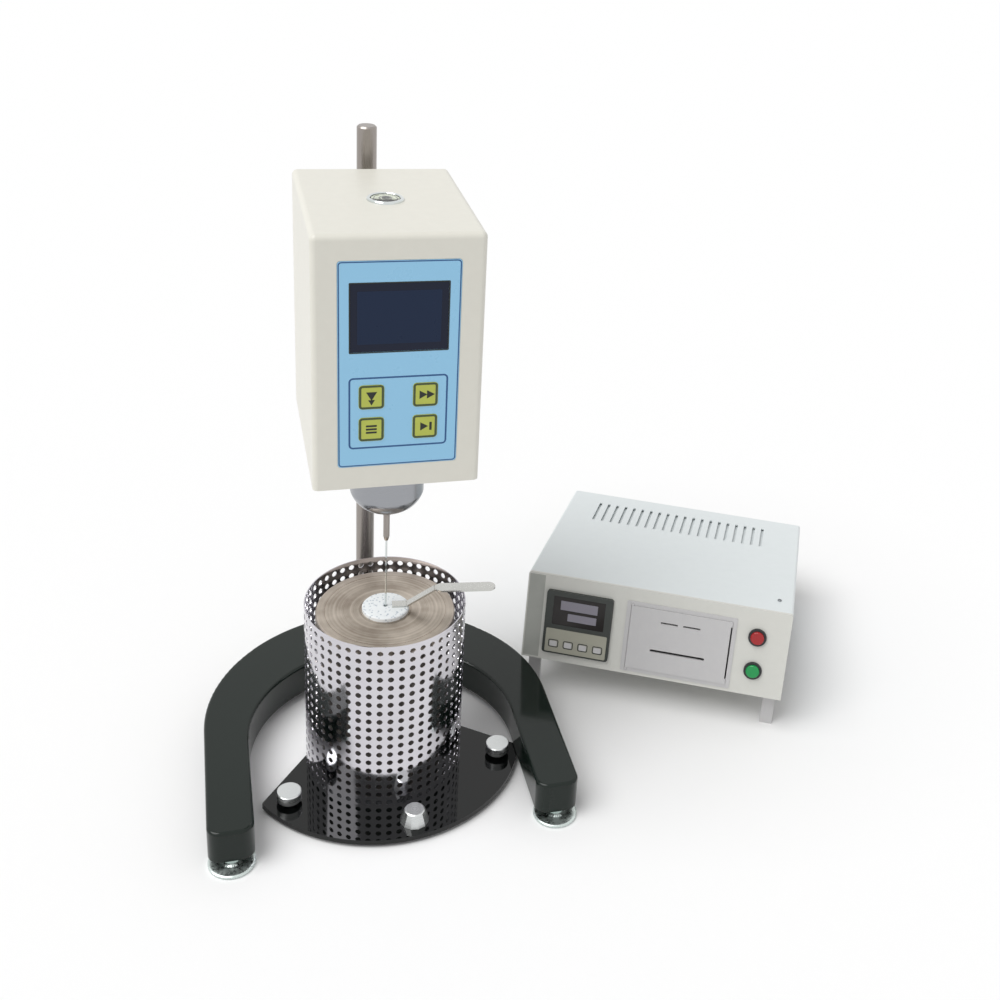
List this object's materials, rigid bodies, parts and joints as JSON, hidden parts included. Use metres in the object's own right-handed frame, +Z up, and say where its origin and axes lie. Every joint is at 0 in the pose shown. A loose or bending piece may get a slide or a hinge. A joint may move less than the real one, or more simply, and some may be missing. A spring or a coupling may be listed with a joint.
{
  "type": "rotational viscometer",
  "caption": "Rotational viscometer: a measuring head on a column and horseshoe base turns a rotor in a small furnace with a perforated guard, beside a temperature controller with a printer.",
  "frame": {"origin": "on the floor, on the axis of the column and of the rear levelling foot", "axes": "+Z up along the column, the rotor hangs towards -Y in front of the column, +X to the side of the temperature controller"},
  "size_m": [0.704, 0.4577, 0.606],
  "materials": {
    "base_enamel": "glossy dark grey enamel on cast iron",
    "chrome_plate": "bright chrome plate",
    "ground_steel": "ground stainless steel",
    "cast_alloy": "tumbled cast aluminium",
    "black_moulding": "fine-grained black moulding",
    "head_paint": "satin warm-white moulding",
    "panel_print": "printed polyester film",
    "display_glass": "dark tinted acrylic",
    "key_moulding": "satin yellow-green key",
    "circuit_board": "solder mask over glass epoxy",
    "clear_glass": "clear glass with a tinted liquid",
    "turned_alloy": "fine-turned aluminium",
    "motor_steel": "dark lacquered steel",
    "spring_bronze": "rolled bronze strip",
    "mirror_steel": "mirror-polished steel",
    "knob_alloy": "turned aluminium, fluted",
    "bright_steel": "bright annealed stainless sheet",
    "turned_steel": "face-turned steel",
    "ceramic_fibre": "pressed ceramic fibre",
    "lid_ceramic": "white machinable ceramic with fine specks",
    "box_paint": "smooth beige-grey powder coat",
    "cover_paint": "smooth cool-grey powder coat",
    "printer_moulding": "satin pale grey moulding",
    "red_moulding": "glossy red cap",
    "green_moulding": "glossy green cap",
    "pad_rubber": "matt black rubber"
  },
  "bodies": {
    "stand": {"horseshoe_base": "base_enamel", "column": "ground_steel", "furnace_plate": "mirror_steel", "furnace_base_ring": "black_moulding", "guard": "bright_steel", "furnace_jacket": "ground_steel", "furnace_insulation": "ceramic_fibre", "heater_block": "turned_alloy", "cartridge_heaters": "ground_steel", "furnace_top_plate": "turned_steel", "sample_tube": "ground_steel", "controller_chassis": "box_paint", "controller_cover": "cover_paint", "controller_front": "box_paint", "temperature_module": "black_moulding", "module_window": "display_glass", "printer_module": "printer_moulding", "button_bezels": "black_moulding", "rear_pads": "pad_rubber", "mains_inlet": "black_moulding", "transformer": "motor_steel"},
    "head": {"carriage": "cast_alloy", "head_housing": "head_paint", "head_base_plate": "head_paint", "control_panel": "panel_print", "lcd_window": "display_glass", "display_board": "circuit_board", "level_ring": "chrome_plate", "level_vial": "clear_glass", "nose_cup": "turned_alloy", "spindle_bearings": "ground_steel", "drive_frame": "turned_alloy", "drive_motor": "motor_steel"},
    "spindle": {"spindle_shaft": "ground_steel", "encoder_disc": "black_moulding", "torque_spring": "spring_bronze", "spring_driver": "ground_steel", "spindle_coupling": "ground_steel", "hanging_rod": "ground_steel", "rotor_bob": "ground_steel"},
    "lift_drive": {"lift_pinion": "ground_steel", "lift_knob": "black_moulding"},
    "lid": {"furnace_lid": "lid_ceramic", "lid_handle": "bright_steel"},
    "clamp_knob": {"clamp_knob": "black_moulding"},
    "foot_left": {"foot_left": "chrome_plate"},
    "foot_right": {"foot_right": "chrome_plate"},
    "foot_rear": {"foot_rear": "chrome_plate"},
    "rotor_key": {"rotor_key": "key_moulding"},
    "speed_key": {"speed_key": "key_moulding"},
    "print_key": {"print_key": "key_moulding"},
    "run_key": {"run_key": "key_moulding"},
    "level_screw_left": {"level_screw_left": "knob_alloy"},
    "level_screw_front": {"level_screw_front": "knob_alloy"},
    "level_screw_right": {"level_screw_right": "knob_alloy"},
    "stop_button": {"stop_button": "red_moulding"},
    "run_button": {"run_button": "green_moulding"},
    "printer_door": {"printer_door": "printer_moulding"},
    "leg_left": {"leg_left": "black_moulding"},
    "leg_right": {"leg_right": "black_moulding"}
  },
  "joints": [
    {"name": "head_lift", "type": "slide", "parent": "stand", "child": "head", "axis": [0, 0, 1], "range_m": [0, 0.045]},
    {"name": "lift_turn", "type": "hinge", "parent": "head", "child": "lift_drive", "pos_m": [0, 0.0146, 0.46], "axis": [1, 0, 0], "range_deg": [-4, 374]},
    {"name": "clamp_turn", "type": "hinge", "parent": "head", "child": "clamp_knob", "pos_m": [-0.031, 0, 0.46], "axis": [0, 1, 0], "range_deg": [0, 180]},
    {"name": "spindle_turn", "type": "hinge", "parent": "head", "child": "spindle", "pos_m": [0, -0.158, 0.3], "axis": [0, 0, 1], "continuous": true},
    {"name": "rotor_key_press", "type": "slide", "parent": "head", "child": "rotor_key", "axis": [0, 1, 0], "range_m": [0, 0.0005], "stiffness_N_per_m": 600},
    {"name": "speed_key_press", "type": "slide", "parent": "head", "child": "speed_key", "axis": [0, 1, 0], "range_m": [0, 0.0005], "stiffness_N_per_m": 600},
    {"name": "print_key_press", "type": "slide", "parent": "head", "child": "print_key", "axis": [0, 1, 0], "range_m": [0, 0.0005], "stiffness_N_per_m": 600},
    {"name": "run_key_press", "type": "slide", "parent": "head", "child": "run_key", "axis": [0, 1, 0], "range_m": [0, 0.0005], "stiffness_N_per_m": 600},
    {"name": "foot_left_turn", "type": "hinge", "parent": "stand", "child": "foot_left", "pos_m": [-0.1495, -0.265, 0.01], "axis": [0, 0, 1], "continuous": true},
    {"name": "foot_right_turn", "type": "hinge", "parent": "stand", "child": "foot_right", "pos_m": [0.1495, -0.265, 0.01], "axis": [0, 0, 1], "continuous": true},
    {"name": "foot_rear_turn", "type": "hinge", "parent": "stand", "child": "foot_rear", "pos_m": [0, 0, 0.01], "axis": [0, 0, 1], "continuous": true},
    {"name": "level_screw_left_turn", "type": "hinge", "parent": "stand", "child": "level_screw_left", "pos_m": [-0.09534, -0.20802, 0.01], "axis": [0, 0, 1], "continuous": true},
    {"name": "level_screw_front_turn", "type": "hinge", "parent": "stand", "child": "level_screw_front", "pos_m": [0.01561, -0.25546, 0.01], "axis": [0, 0, 1], "continuous": true},
    {"name": "level_screw_right_turn", "type": "hinge", "parent": "stand", "child": "level_screw_right", "pos_m": [0.11024, -0.1806, 0.01], "axis": [0, 0, 1], "continuous": true},
    {"name": "lid_lift", "type": "slide", "parent": "stand", "child": "lid", "axis": [0, 0, 1], "range_m": [0, 0.06]},
    {"name": "stop_press", "type": "slide", "parent": "stand", "child": "stop_button", "axis": [0.4478, 0.8804, -0.1557], "range_m": [0, 0.003], "stiffness_N_per_m": 300},
    {"name": "run_press", "type": "slide", "parent": "stand", "child": "run_button", "axis": [0.4478, 0.8804, -0.1557], "range_m": [0, 0.003], "stiffness_N_per_m": 300},
    {"name": "door_swing", "type": "hinge", "parent": "stand", "child": "printer_door", "pos_m": [0.26404, -0.1162, 0.0859], "axis": [-0.0706, -0.1388, -0.9878], "range_deg": [0, 105]},
    {"name": "leg_left_fold", "type": "hinge", "parent": "stand", "child": "leg_left", "pos_m": [0.17963, -0.0564, 0.03393], "axis": [0.8913, -0.4534, 0], "range_deg": [0, 90]},
    {"name": "leg_right_fold", "type": "hinge", "parent": "stand", "child": "leg_right", "pos_m": [0.40959, -0.17336, 0.03393], "axis": [0.8913, -0.4534, 0], "range_deg": [0, 90]}
  ],
  "couplings": [
    {"joint": "lift_turn", "follows": "head_lift", "rad_per_m": 142.86}
  ]
}
